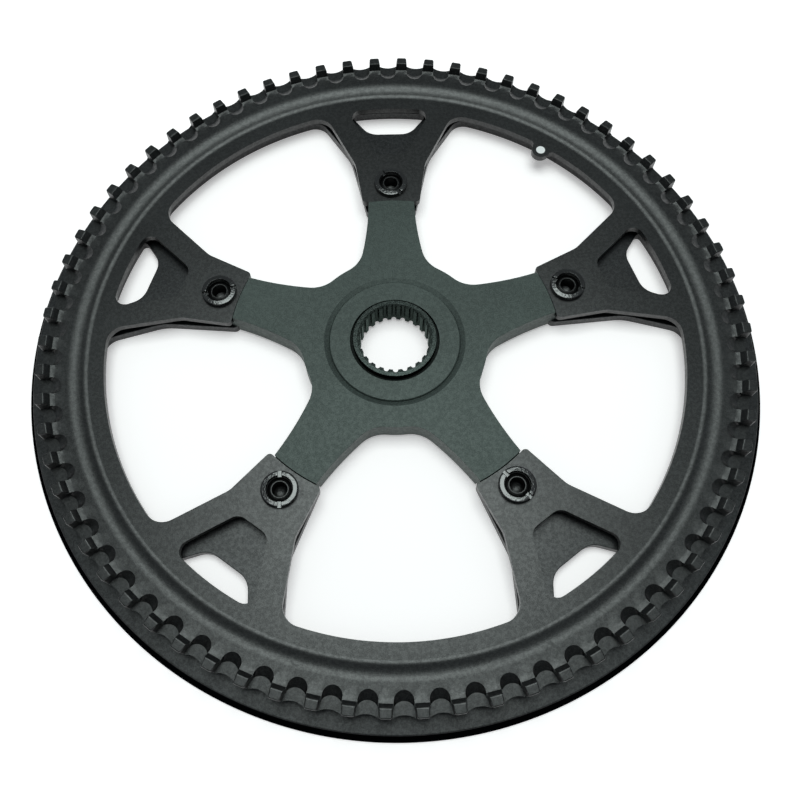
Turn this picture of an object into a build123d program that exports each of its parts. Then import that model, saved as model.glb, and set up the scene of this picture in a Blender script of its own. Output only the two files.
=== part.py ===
from build123d import *
import os
from math import cos, degrees, hypot, pi, radians, sin, tan

# Front belt sprocket of a bicycle: a toothed ring and a flat belt guard on a splined spider with five arms.
# Millimetres, +Z along the bore. The guard's back face lies on Z = 0 and the first arm points along +Y.

# Belt and teeth
TOOTH_COUNT = 70
BELT_PITCH = 11.0
PITCH_LINE_DROP = 0.95  # tooth tips lie this far inside the belt's pitch line
TOOTH_WIDTH = 10.4  # along the axis, over both rows and the rib between them
TOOTH_DEPTH = 3.0  # radial depth of a tooth's end face
TOOTH_ROOT_LENGTH = 4.46  # of a tooth's inner face, at the rib, round the ring
FLANK_ANGLE = 3.3  # how a tooth narrows towards its tip, each side
FLANK_DRAFT = 5.0  # how a tooth narrows away from the rib, each side
RIB_THICKNESS = 1.6
RIB_INSET = 1.1  # rib edge lies this far inside the tooth tips
TROUGH_WIDTH = 6.2  # hollow ramp between two teeth, at the rib
TROUGH_FLOOR_WIDTH = 2.8
TROUGH_DEPTH = 0.8
TROUGH_SLOPE = 27.0  # of the ramp, from the rib up to the land

# Rim of the ring, from the teeth inwards
SHOULDER_LAP = 0.2  # the shoulder's foot runs this far under the teeth, and stays this far from them below
SHOULDER_WIDTH = 3.6  # from the teeth's inner faces in to the land
LAND_WIDTH = 4.2
LAND_RISE = 2.25  # land above the flat band and the tabs
COVE_BROW_WIDTH = 1.9
COVE_BROW_DROP = 0.4
COVE_WIDTH = 2.5  # steep part of the cove between band and land
COVE_FOOT_WIDTH = 1.1
COVE_FOOT_RISE = 0.2
BAND_WIDTH = 5.1

# Bolt circle and arms
ARM_COUNT = 5
BOLT_CIRCLE = 130.0
TAB_THICKNESS = 2.3
TAB_RISE = 0.2  # tab faces above the middle of the rib
TAB_END_REACH = 7.3  # from the bolt circle in to the tab's end
TAB_WAIST_REACH = 9.3  # from the bolt circle out to the tab's waist
TAB_WAIST_WIDTH = 26.5
TAB_TAPER = 0.155  # the tab narrows by this from waist to end, each side
TAB_FLARE = 0.5  # the tab widens by this from waist to rim, each side
TAB_RIM_FILLET = 6.5
TAB_WAIST_FILLET = 9.0
TAB_CORNER_CUT = 1.0
WINDOW_REACH = 13.7  # from the bolt circle out to the window's inner edge
WINDOW_WIDTH = 11.9  # at that edge
WINDOW_RIM_STEP = 0.5  # window's outer edge, outside the ring's inner edge
WINDOW_OUTER_FILLET = 3.5
WINDOW_INNER_CUT = 0.9

# Small lug on the ring's inner edge, half way between two arms
LUG_RADIUS = 3.3
LUG_HOLE_DIAMETER = 3.5
LUG_INSET = 1.9  # hole centre inside the ring's inner edge
LUG_FILLET = 2.0

# Belt guard
GUARD_THICKNESS = 3.6
GUARD_OVERHANG = 6.7  # outside the tooth tips
GUARD_TOOTH_GAP = 0.2
GUARD_BEVEL_WIDTH = 2.1
GUARD_BEVEL_DROP = 3.0
GUARD_RIM_COVER = 18.1  # rim's inner edge inside the tooth tips
GUARD_END_REACH = 8.7  # from the bolt circle in to the arm's end
GUARD_WAIST_REACH = 16.8
GUARD_WAIST_WIDTH = 30.4
GUARD_TAPER = 0.235
GUARD_FLARE = 0.66
GUARD_RIM_FILLET = 6.0
GUARD_WAIST_FILLET = 18.0
GUARD_CORNER_CUT = 1.4
SLOT_DEPTH = 10.5  # from the rim's inner edge in to the slot's inner edge
SLOT_WIDTH = 16.0  # at that edge
SLOT_FLARE = 0.78
SLOT_INNER_FILLET = 7.0
SLOT_OUTER_CUT = 2.0

# Spider
HUB_DIAMETER = 64.2  # round edge between two arms
SPIDER_ARM_WIDTH = 17.0  # from the tabs outwards
SPIDER_ROOT_WIDTH = 25.0  # just inside the hub's edge
SPIDER_ROOT_INSET = 4.1  # that place, inside the hub's edge
SPIDER_FILLET = 11.0
SPIDER_RISE = 0.4  # spider's face above the tabs
SPIDER_BACK_STEP = 1.4  # spider's back inside the guard's back
SEAM_CLEARANCE = 0.3
LEDGE_REACH = 8.0  # from the bolt circle out to the ledge's end

# Hub and spline
SPLINE_COUNT = 24
SPLINE_MINOR_DIAMETER = 24.0
SPLINE_DEPTH = 0.95
SPLINE_MOUTH_WIDTH = 1.75
SPLINE_FLOOR_WIDTH = 1.0
BOSS_WALL = 2.4
BOSS_RISE = 1.6
MOAT_WIDTH = 1.1
MOAT_DEPTH = 1.2
HUB_GROOVE_DIAMETER = 45.8  # at its lowest line
HUB_GROOVE_DEPTH = 1.1
HUB_GROOVE_OUTER_RUN = 1.4
HUB_GROOVE_INNER_RUN = 1.5

# Bolts and slotted nuts
NUT_FLANGE_DIAMETER = 12.3
NUT_FLANGE_HEIGHT = 1.8
NUT_SLOT_WIDTH = 1.3
NUT_SLOT_DEPTH = 0.9
NUT_SLOT_ANGLES = (125.0, 120.0, 127.0, 97.0, 48.0)
BOLT_DIAMETER = 7.8
BOLT_HOLE_CLEARANCE = 0.2  # radial, in the three plates
THREAD_CLEARANCE = 0.05  # radial, in the nut
BOLT_HEAD_DIAMETER = 13.0
BOLT_HEAD_HEIGHT = 1.8
BOLT_HEAD_INSET = 0.2  # head's face inside the guard's back
HEAD_CLEARANCE = 0.2  # radial, in the guard
BOLT_KEY_WIDTH = 5.0  # across the flats of its hexagon socket
BOLT_KEY_DEPTH = 3.0
BOLT_NOSE_SINK = 1.0  # bolt's end below the nut's face

# Radii and heights that follow from the sizes above
tip_r = TOOTH_COUNT * BELT_PITCH / (2 * pi) - PITCH_LINE_DROP
rib_r = tip_r - RIB_INSET
tooth_in_r = tip_r - TOOTH_DEPTH
land_out_r = tooth_in_r - SHOULDER_WIDTH
land_in_r = land_out_r - LAND_WIDTH
cove_out_r = land_in_r - COVE_BROW_WIDTH
cove_in_r = cove_out_r - COVE_WIDTH
band_out_r = cove_in_r - COVE_FOOT_WIDTH
rim_in_r = band_out_r - BAND_WIDTH
guard_out_r = tip_r + GUARD_OVERHANG
guard_rim_r = tip_r - GUARD_RIM_COVER
bolt_r = BOLT_CIRCLE / 2
tab_end_r = bolt_r - TAB_END_REACH
guard_end_r = bolt_r - GUARD_END_REACH
spline_r = SPLINE_MINOR_DIAMETER / 2
boss_r = spline_r + BOSS_WALL
hub_r = HUB_DIAMETER / 2
bolt_hole_r = BOLT_DIAMETER / 2 + BOLT_HOLE_CLEARANCE

tooth_low_z = GUARD_THICKNESS + GUARD_TOOTH_GAP
tooth_top_z = tooth_low_z + TOOTH_WIDTH
rib_mid_z = (tooth_low_z + tooth_top_z) / 2
rib_top_z = rib_mid_z + RIB_THICKNESS / 2
rib_low_z = rib_mid_z - RIB_THICKNESS / 2
tab_top_z = rib_mid_z + TAB_RISE
tab_low_z = tab_top_z - TAB_THICKNESS
land_z = tab_top_z + LAND_RISE
spider_top_z = tab_top_z + SPIDER_RISE
boss_top_z = spider_top_z + BOSS_RISE
head_seat_z = BOLT_HEAD_INSET + BOLT_HEAD_HEIGHT

ARM_ANGLES = [360.0 * n / ARM_COUNT for n in range(ARM_COUNT)]
PAST = 1.0  # how far a cutting shape runs past a face
RAMP_CUT = 15.0  # reach of the shape that cuts a ramp


def turned(shape, angle):
    """The shape turned about the bore."""
    return Rot(0, 0, angle) * shape


def at_bolt(shape, angle):
    """A shape made about the origin, moved to the bolt of the arm at that angle."""
    return turned(Pos(0, bolt_r, 0) * shape, angle)


def disc(radius, seam=0.0):
    """A round face whose seam lies at the given angle from +Y."""
    return Rot(0, 0, 90 + seam) * Circle(radius)


def slab(face, low, top):
    """The face as a plate from one height to another."""
    return extrude(Pos(0, 0, low) * face, amount=top - low)


def post(radius, low, top):
    """A round bar along Z."""
    return slab(Circle(radius), low, top)


def corners_at(face, x, y):
    """Corners of the face as far from the bore as the point x, y."""
    reach = hypot(x, y)
    return [v for v in face.vertices() if abs(hypot(v.X, v.Y) - reach) < 0.01]


def arm_face(waist_half, waist_y, taper, flare, outer_y):
    """One arm along +Y, narrowing from its waist to the bore and widening to the rim."""
    outer_half = waist_half + flare * (outer_y - waist_y)
    inner_y = bolt_r / 2
    inner_half = waist_half - taper * (waist_y - inner_y)
    right = [(inner_half, inner_y), (waist_half, waist_y), (outer_half, outer_y)]
    left = [(-x, y) for x, y in reversed(right)]
    return make_face(Polyline(*right, *left, close=True))


def opening_face(inner_y, inner_half, flare, outer_r, inner_corner, outer_corner):
    """A window in an arm: straight inner edge, sides that widen outwards, outer edge round the bore."""
    outer_half = inner_half + flare * (outer_r - inner_y)
    right = [(inner_half, inner_y), (outer_half, outer_r)]
    left = [(-x, y) for x, y in reversed(right)]
    face = make_face(Polyline(*right, *left, close=True)) & disc(outer_r, 180)
    soften, size = outer_corner
    face = soften(corners_at(face, 0, outer_r), size)
    soften, size = inner_corner
    return soften(corners_at(face, inner_half, inner_y), size)


def armed_face(rim_face, rim_r, arm, end_r, waist, rim_fillet, waist_fillet, corner_cut):
    """A rim with five arms, rounded where they join it and at their waists, their ends' corners cut."""
    face = rim_face
    for angle in ARM_ANGLES:
        face += turned(arm, angle)
    face -= disc(end_r, 180 / ARM_COUNT)
    face = fillet(corners_at(face, 0, rim_r), rim_fillet)
    face = fillet(corners_at(face, *waist), waist_fillet)
    return chamfer(corners_at(face, 0, end_r), corner_cut)


def rim_solid():
    """The ring's rim as turned, from flat band to shoulder, with the rib that carries the teeth."""
    section = Polyline(
        (rim_in_r, tab_low_z),
        (rim_in_r, tab_top_z),
        (band_out_r, tab_top_z),
        (cove_in_r, tab_top_z + COVE_FOOT_RISE),
        (cove_out_r, land_z - COVE_BROW_DROP),
        (land_in_r, land_z),
        (land_out_r, land_z),
        (tooth_in_r + SHOULDER_LAP, rib_top_z),
        (tooth_in_r - SHOULDER_LAP, rib_low_z),
        (land_out_r, tab_low_z),
        close=True,
    )
    turn = Rot(0, 0, 90 + 180 / TOOTH_COUNT)
    rib = turn * RegularPolygon(rib_r, TOOTH_COUNT, major_radius=False) - disc(land_out_r)
    return revolve(Plane.XZ * make_face(section), axis=Axis.Z) + slab(rib, rib_low_z, rib_top_z)


def tooth():
    """One tooth on +Y, across the rib, with flanks that narrow to its tip and to both ends."""
    spread = tan(radians(FLANK_ANGLE))
    draft = tan(radians(FLANK_DRAFT))
    rise = tooth_top_z - rib_mid_z
    run = rise * draft / spread
    inner_half = TOOTH_ROOT_LENGTH / 2
    outer_y = tip_r + run
    outer_half = inner_half - spread * (outer_y - tooth_in_r)
    right = [(inner_half, tooth_in_r), (outer_half, outer_y)]
    left = [(-x, y) for x, y in reversed(right)]
    flanks = extrude(
        Pos(0, 0, rib_mid_z) * make_face(Polyline(*right, *left, close=True)),
        dir=(0, -run, rise),
        amount=hypot(run, rise),
    )
    block = Pos(0, tooth_in_r + TOOTH_DEPTH / 2) * Rectangle(BELT_PITCH, TOOTH_DEPTH)
    upper = flanks & slab(block, rib_mid_z, tooth_top_z)
    return upper + mirror(upper, about=Plane.XY.offset(rib_mid_z))


def ramp_cutter():
    """Hollow ramp on +Y that rises inwards from the rib to the land, between two teeth."""
    slope = radians(TROUGH_SLOPE)
    along = Plane((0, tooth_in_r, rib_top_z), x_dir=(1, 0, 0), z_dir=(0, -cos(slope), sin(slope)))
    floor = TROUGH_FLOOR_WIDTH / 2
    mouth = TROUGH_WIDTH / 2
    flare = (mouth - floor) / TROUGH_DEPTH
    right = [(floor, -TROUGH_DEPTH), (floor + flare * RAMP_CUT, RAMP_CUT - TROUGH_DEPTH)]
    left = [(-x, y) for x, y in reversed(right)]
    trough = extrude(along * make_face(Polyline(*right, *left, close=True)), amount=RAMP_CUT, both=True)
    return trough & slab(disc(tip_r, 180), rib_top_z, land_z + PAST)


def lug_span(vertex, angle):
    """Distance of a corner from the line out of the bore at that angle from +Y."""
    turn = radians(angle)
    return abs(vertex.X * cos(turn) + vertex.Y * sin(turn))


def sprocket_ring():
    """Toothed ring with five windowed tabs and one small lug."""
    waist = (TAB_WAIST_WIDTH / 2, bolt_r + TAB_WAIST_REACH)
    arm = arm_face(*waist, TAB_TAPER, TAB_FLARE, band_out_r)
    rim = disc(band_out_r) - disc(rim_in_r)
    softening = (TAB_RIM_FILLET, TAB_WAIST_FILLET, TAB_CORNER_CUT)
    web = armed_face(rim, rim_in_r, arm, tab_end_r, waist, *softening)
    window = opening_face(
        bolt_r + WINDOW_REACH,
        WINDOW_WIDTH / 2,
        TAB_FLARE,
        rim_in_r + WINDOW_RIM_STEP,
        (chamfer, WINDOW_INNER_CUT),
        (fillet, WINDOW_OUTER_FILLET),
    )
    for angle in ARM_ANGLES:
        web -= turned(window, angle)
        web -= at_bolt(Circle(bolt_hole_r), angle)
    lug_y = rim_in_r - LUG_INSET
    lug_angle = -180 / ARM_COUNT
    web += turned(Pos(0, lug_y) * Rot(0, 0, 90) * Circle(LUG_RADIUS), lug_angle)
    lug_corners = [v for v in corners_at(web, 0, rim_in_r) if lug_span(v, lug_angle) < 2 * LUG_RADIUS]
    web = fillet(lug_corners, LUG_FILLET)
    web -= turned(Pos(0, lug_y) * Circle(LUG_HOLE_DIAMETER / 2), lug_angle)
    pitch = 360.0 / TOOTH_COUNT
    ramp = ramp_cutter()
    one_tooth = turned(tooth(), pitch / 2)
    rim = rim_solid().cut(*[turned(ramp, pitch * n) for n in range(TOOTH_COUNT)])
    rim = rim.fuse(*[turned(one_tooth, pitch * n) for n in range(TOOTH_COUNT)])
    return rim + slab(web, tab_low_z, tab_top_z)


def outer_wall(guard):
    """The guard's outer round wall."""
    return guard.faces().filter_by(GeomType.CYLINDER).sort_by(lambda face: face.bounding_box().size.X)[-1]


def guard_ring():
    """Flat belt guard with a bevelled edge and five slotted arms, bored and counterbored for the bolts."""
    waist = (GUARD_WAIST_WIDTH / 2, bolt_r + GUARD_WAIST_REACH)
    arm = arm_face(*waist, GUARD_TAPER, GUARD_FLARE, guard_rim_r + GUARD_BEVEL_WIDTH)
    rim = disc(guard_out_r) - disc(guard_rim_r)
    softening = (GUARD_RIM_FILLET, GUARD_WAIST_FILLET, GUARD_CORNER_CUT)
    face = armed_face(rim, guard_rim_r, arm, guard_end_r, waist, *softening)
    slot = opening_face(
        guard_rim_r - SLOT_DEPTH,
        SLOT_WIDTH / 2,
        SLOT_FLARE,
        guard_rim_r,
        (fillet, SLOT_INNER_FILLET),
        (chamfer, SLOT_OUTER_CUT),
    )
    for angle in ARM_ANGLES:
        face -= turned(slot, angle)
        face -= at_bolt(Circle(bolt_hole_r), angle)
    guard = slab(face, 0, GUARD_THICKNESS)
    outer_edge = guard.edges().filter_by(GeomType.CIRCLE).group_by(Axis.Z)[-1].sort_by(SortBy.RADIUS)[-1]
    guard = chamfer(outer_edge, GUARD_BEVEL_DROP, GUARD_BEVEL_WIDTH, reference=outer_wall(guard))
    counterbore = post(BOLT_HEAD_DIAMETER / 2 + HEAD_CLEARANCE, -PAST, head_seat_z)
    return guard - [at_bolt(counterbore, angle) for angle in ARM_ANGLES]


def hub_groove():
    """Ring cut round the hub, with two sloping walls."""
    low_r = HUB_GROOVE_DIAMETER / 2
    outer = (low_r + HUB_GROOVE_OUTER_RUN, spider_top_z)
    inner = (low_r - HUB_GROOVE_INNER_RUN, spider_top_z)
    low = (low_r, spider_top_z - HUB_GROOVE_DEPTH)
    return revolve(Plane.XZ * make_face(Polyline(inner, low, outer, close=True)), axis=Axis.Z)


def spline_cutter():
    """The splined bore: a groove and a land by turns, all with flat faces."""
    mouth = degrees(SPLINE_MOUTH_WIDTH / 2 / spline_r)
    floor = degrees(SPLINE_FLOOR_WIDTH / 2 / spline_r)
    floor_r = spline_r + SPLINE_DEPTH
    corners = [(spline_r, -mouth), (floor_r, -floor), (floor_r, floor), (spline_r, mouth)]
    steps = [360.0 * n / SPLINE_COUNT for n in range(SPLINE_COUNT)]
    outline = [Vector(radius, 0).rotate(Axis.Z, step + turn) for step in steps for radius, turn in corners]
    return slab(make_face(Polyline(*outline, close=True)), SPIDER_BACK_STEP - PAST, boss_top_z + PAST)


def spider_arm():
    """One arm along +Y: straight under the tab, then widening in two hollow curves to the hub."""
    half = SPIDER_ARM_WIDTH / 2
    root = (SPIDER_ROOT_WIDTH / 2, hub_r - SPIDER_ROOT_INSET)
    reach = bolt_r + LEDGE_REACH
    right = TangentArc((half, tab_end_r), root, tangent=(0, -1))
    left = mirror(right, about=Plane.YZ)
    end = Polyline((half, tab_end_r), (half, reach), (-half, reach), (-half, tab_end_r))
    foot = Line(right @ 1, left @ 1)
    return make_face([*right.edges(), *end.edges(), *left.edges(), *foot.edges()])


def spider():
    """Five-armed spider with a ledge under each tab, a raised boss and a splined bore."""
    arm = spider_arm()
    star = disc(hub_r)
    for angle in ARM_ANGLES:
        star += turned(arm, angle)
    star = fillet(corners_at(star, 0, hub_r), SPIDER_FILLET)
    back = star & disc(guard_end_r - SEAM_CLEARANCE, 180 / ARM_COUNT)
    front = star & disc(tab_end_r - SEAM_CLEARANCE, 180 / ARM_COUNT)
    ledge = star
    for angle in ARM_ANGLES:
        ledge -= at_bolt(Circle(bolt_hole_r), angle)
    body = slab(back, SPIDER_BACK_STEP, GUARD_THICKNESS)
    body += slab(ledge, GUARD_THICKNESS, tab_low_z)
    body += slab(front, tab_low_z, spider_top_z)
    body -= hub_groove()
    moat = disc(boss_r + MOAT_WIDTH) - disc(boss_r)
    body -= slab(moat, spider_top_z - MOAT_DEPTH, spider_top_z + PAST)
    body += post(boss_r, spider_top_z - MOAT_DEPTH, boss_top_z)
    return body - spline_cutter()


def slotted_nut(slot_angle):
    """Round nut with a slot across its face for a pin tool, standing at the origin."""
    top = tab_top_z + NUT_FLANGE_HEIGHT
    nut = post(NUT_FLANGE_DIAMETER / 2, tab_top_z, top)
    nut -= post(BOLT_DIAMETER / 2 + THREAD_CLEARANCE, 0, top + PAST)
    slot = slab(Rectangle(2 * NUT_FLANGE_DIAMETER, NUT_SLOT_WIDTH), top - NUT_SLOT_DEPTH, top + PAST)
    return nut - turned(slot, slot_angle)


def ring_bolt():
    """Flat-headed bolt with a hexagon socket, standing at the origin."""
    bolt = post(BOLT_HEAD_DIAMETER / 2, BOLT_HEAD_INSET, head_seat_z)
    bolt += post(BOLT_DIAMETER / 2, head_seat_z, tab_top_z + NUT_FLANGE_HEIGHT - BOLT_NOSE_SINK)
    key = RegularPolygon(BOLT_KEY_WIDTH / 2, 6, major_radius=False)
    return bolt - slab(key, 0, BOLT_HEAD_INSET + BOLT_KEY_DEPTH)


def save(name, *solids):
    """Write a node's solids to its own file."""
    shape = Compound(children=list(solids)) if len(solids) > 1 else solids[0]
    export_step(shape, os.path.join("parts", name + ".step"))


os.makedirs("parts", exist_ok=True)
save("sprocket_ring", sprocket_ring())
save("guard_ring", guard_ring())
save("spider", spider())
save("ring_nuts", *[at_bolt(slotted_nut(slot), angle) for slot, angle in zip(NUT_SLOT_ANGLES, ARM_ANGLES)])
save("ring_bolts", *[at_bolt(ring_bolt(), angle) for angle in ARM_ANGLES])
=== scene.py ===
from math import asin, atan2, cos, pi, radians, sin, sqrt, tan

import bmesh
import bpy
from mathutils import Matrix, Vector


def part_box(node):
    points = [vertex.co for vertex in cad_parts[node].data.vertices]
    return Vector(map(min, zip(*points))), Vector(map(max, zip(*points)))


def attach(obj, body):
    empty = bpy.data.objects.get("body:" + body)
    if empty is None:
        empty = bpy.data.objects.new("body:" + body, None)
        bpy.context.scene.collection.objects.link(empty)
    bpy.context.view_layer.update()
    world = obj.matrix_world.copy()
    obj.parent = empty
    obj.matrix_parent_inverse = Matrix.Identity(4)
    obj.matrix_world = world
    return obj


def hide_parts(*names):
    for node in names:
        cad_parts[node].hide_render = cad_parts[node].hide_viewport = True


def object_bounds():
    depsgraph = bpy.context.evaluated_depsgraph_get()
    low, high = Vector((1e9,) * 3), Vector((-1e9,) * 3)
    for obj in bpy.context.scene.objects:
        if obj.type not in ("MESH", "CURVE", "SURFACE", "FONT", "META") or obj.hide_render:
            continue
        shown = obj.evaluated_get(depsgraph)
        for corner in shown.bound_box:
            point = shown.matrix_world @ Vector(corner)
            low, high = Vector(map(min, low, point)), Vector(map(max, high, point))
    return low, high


bl_info = {
    "name": "Belt Sprocket",
    "version": (1, 0, 0),
    "blender": (4, 5, 0),
    "location": "3D View > Sidebar > Sprocket",
    "description": "Models and finishes a front belt sprocket around its solid parts",
    "category": "Object",
}

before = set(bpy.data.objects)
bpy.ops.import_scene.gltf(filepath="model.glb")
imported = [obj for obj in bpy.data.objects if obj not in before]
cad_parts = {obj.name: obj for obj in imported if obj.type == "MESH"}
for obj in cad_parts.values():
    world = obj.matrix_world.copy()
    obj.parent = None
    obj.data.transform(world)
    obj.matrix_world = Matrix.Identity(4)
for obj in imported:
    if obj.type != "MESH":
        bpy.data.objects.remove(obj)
cad_low, cad_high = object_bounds()
ring_low, ring_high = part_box("sprocket_ring")
guard_low, guard_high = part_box("guard_ring")
spider_low, spider_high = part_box("spider")
nut_low, nut_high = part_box("ring_nuts")
bolt_low, bolt_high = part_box("ring_bolts")

MM = 0.001
ARMS = 5
ARM_STEP = 2 * pi / ARMS
BORE = Vector((0.0, 0.0))
TAB_TOP = nut_low.z  # the nuts stand on the tabs
TAB_THICKNESS = 2.3 * MM
TAB_END_REACH = 7.3 * MM  # bolt circle in to the tabs' ends, where the spider's arms go under them

# How closely things are made
MERGE = 0.005 * MM  # vertices nearer than this become one
NEAR = 0.1 * MM  # how far off a vertex may be that counts as in its place
ALONG = 0.99  # share of a normal along an axis that counts as pointing along it
TURN_SLACK = 1e-5  # how far round the bore a face may be that counts as in its place
PAST = 1.0 * MM  # how far a cutting shape runs past a face
FLOOR_SKIM = 0.01 * MM  # a scoop goes this far into the rib, so that no two faces coincide
RIB_SINK = 0.15 * MM  # rib's edge inside the teeth that stand on it
BREAK_ANGLE = radians(24)  # sharper edges are broken
SMOOTH_ANGLE = radians(50)  # flatter edges are shaded smooth

# Straight steps in a full circle, or in the part that is named
PITCH_STEPS = 4  # from one tooth to the next
SCOOP_STEPS = 20  # round a scoop's inner edge
SCALLOP_STEPS = 96
GUARD_STEPS = 280
RECESS_STEPS = 48
HOLE_STEPS = 32
GROOVE_STEPS = 120
BOSS_STEPS = 96
ARM_END_STEPS = 240
NUT_STEPS = 64
BOLT_STEPS = 48
KEY_SIDES = 6


def length(name, description, default):
    """A size in metres."""
    return bpy.props.FloatProperty(
        name=name, description=description, default=default, precision=5, unit="LENGTH"
    )


def angle(name, description, degrees):
    """An angle, given in degrees."""
    return bpy.props.FloatProperty(
        name=name, description=description, default=radians(degrees), unit="ROTATION"
    )


def ratio(name, description, default):
    """A plain number."""
    return bpy.props.FloatProperty(name=name, description=description, default=default, precision=4)


def colour(name, description, default):
    """A surface colour."""
    return bpy.props.FloatVectorProperty(
        name=name, description=description, default=default, size=3, min=0, max=1, subtype="COLOR"
    )


class RimSizes(bpy.types.PropertyGroup):
    """Teeth and rim of the sprocket ring."""

    tooth_count: bpy.props.IntProperty(name="Teeth", description="Teeth round the ring", default=70)
    tip: length("Tip radius", "Bore to tooth tips", ring_high.x)
    tooth_depth: length("Tooth depth", "Radial depth of a tooth's end face", 3.0 * MM)
    tooth_length: length("Tooth length", "Length of a tooth's inner face at the rib", 4.6 * MM)
    flank: angle("Flank angle", "How a tooth narrows to its tip", 5.0)
    draft: angle("Draft", "How a tooth narrows away from the rib", 2.8)
    tip_round: length("Tip rounding", "Radius of a tooth's corners at its tip", 0.6 * MM)
    end_round: length("End rounding", "Radius of a tooth's edges at both ends", 0.4 * MM)
    rib_thickness: length("Rib thickness", "Of the rib between the rows of teeth", 1.6 * MM)
    rib_inset: length("Rib inset", "Rib edge inside the tooth tips", 1.1 * MM)
    scallop: length("Scallop radius", "Of the hollow in the rib's edge between two teeth", 6.8 * MM)
    scoop_floor: length("Scoop floor", "Floor of a scoop inside the teeth's inner faces", 1.93 * MM)
    scoop_floor_round: length("Scoop floor radius", "Of the floor's round inner edge", 3.58 * MM)
    scoop_floor_width: length("Scoop floor width", "Across the floor's inner edge", 5.8 * MM)
    scoop_reach: length("Scoop reach", "Its upper edge inside the teeth's inner faces", 4.97 * MM)
    scoop_round: length("Scoop radius", "Of the scoop's upper edge on the land", 3.0 * MM)
    heel: length("Heel", "Foot of a tooth's inner face inside its top edge", 1.25 * MM)
    saddle: length("Saddle width", "Teeth in to where the land starts to rise", 2.8 * MM)
    saddle_rise: length("Saddle rise", "Land's rise to a tooth's foot", 0.47 * MM)
    shoulder: length("Shoulder width", "Teeth in to the land", 3.6 * MM)
    shoulder_lap: length("Shoulder lap", "Shoulder's underside inside the teeth", 0.2 * MM)
    land: length("Land width", "Flat ring inside the teeth", 3.2 * MM)
    land_rise: length("Land rise", "Land above the tabs", 2.25 * MM)
    cove_brow: length("Cove brow", "Round upper part of the cove", 4.5 * MM)
    cove_hollow: length("Cove hollow", "Hollow lower part of the cove", 2.0 * MM)
    edge: length("Broken edge", "Width of the ring's broken edges", 0.22 * MM)

    @property
    def pitch(self):
        return 2 * pi / self.tooth_count

    @property
    def tooth_in(self):
        return self.tip - self.tooth_depth

    @property
    def land_out(self):
        return self.tooth_in - self.shoulder

    @property
    def land_in(self):
        return self.land_out - self.land

    @property
    def band_out(self):
        return self.land_in - self.cove_brow - self.cove_hollow

    @property
    def land_top(self):
        return TAB_TOP + self.land_rise

    @property
    def saddle_top(self):
        return self.land_top + self.saddle_rise

    @property
    def rib_middle(self):
        return (ring_low.z + ring_high.z) / 2

    @property
    def rib_top(self):
        return self.rib_middle + self.rib_thickness / 2

    @property
    def rib_low(self):
        return self.rib_middle - self.rib_thickness / 2


class ArmSizes:
    """Sizes that all pieces on the bolt circle have in common."""

    bolt_circle: length("Bolt circle", "Diameter through the bolts", 130.0 * MM)
    bolt_hole: length("Bolt hole", "Radius of the holes for the bolts", 4.1 * MM)

    @property
    def bolt_radius(self):
        return self.bolt_circle / 2


class TabSizes(bpy.types.PropertyGroup, ArmSizes):
    """The ring's flat band, its five windowed tabs and its lug."""

    thickness: length("Tab thickness", "Of the flat band and tabs", TAB_THICKNESS)
    rim: length("Inner radius", "Bore to the flat band's inner edge", 100.2 * MM)
    end_reach: length("End reach", "Bolt circle in to the tab's end", TAB_END_REACH)
    waist_reach: length("Waist reach", "Bolt circle out to the waist", 9.3 * MM)
    waist_width: length("Waist width", "Width across the waist", 26.5 * MM)
    taper: ratio("Taper", "Narrowing from waist to end, each side", 0.155)
    flare: ratio("Flare", "Widening from waist to rim, each side", 0.5)
    rim_round: length("Rim rounding", "Radius where tab and rim meet", 6.5 * MM)
    waist_round: length("Waist rounding", "Radius at the waist", 9.0 * MM)
    end_round: length("End rounding", "Radius of the end's corners", 1.5 * MM)
    opening_reach: length("Window reach", "Bolt circle out to the window", 13.7 * MM)
    opening_width: length("Window width", "At its inner edge", 11.9 * MM)
    opening_out: length("Window outer radius", "Bore to its outer edge", 100.7 * MM)
    opening_flare: ratio("Window flare", "Widening outwards, each side", 0.5)
    opening_inner_round: length("Window inner rounding", "Radius of its inner corners", 4.2 * MM)
    opening_outer_round: length("Window outer rounding", "Radius of its outer corners", 3.5 * MM)
    lug_radius: length("Lug radius", "Of the small lug", 3.3 * MM)
    lug_fill: length("Lug filling", "Radius of the white filling in the lug's hole", 1.75 * MM)
    lug_inset: length("Lug inset", "Lug's middle inside the inner edge", 1.9 * MM)
    lug_round: length("Lug rounding", "Radius where lug and band meet", 2.0 * MM)


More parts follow.
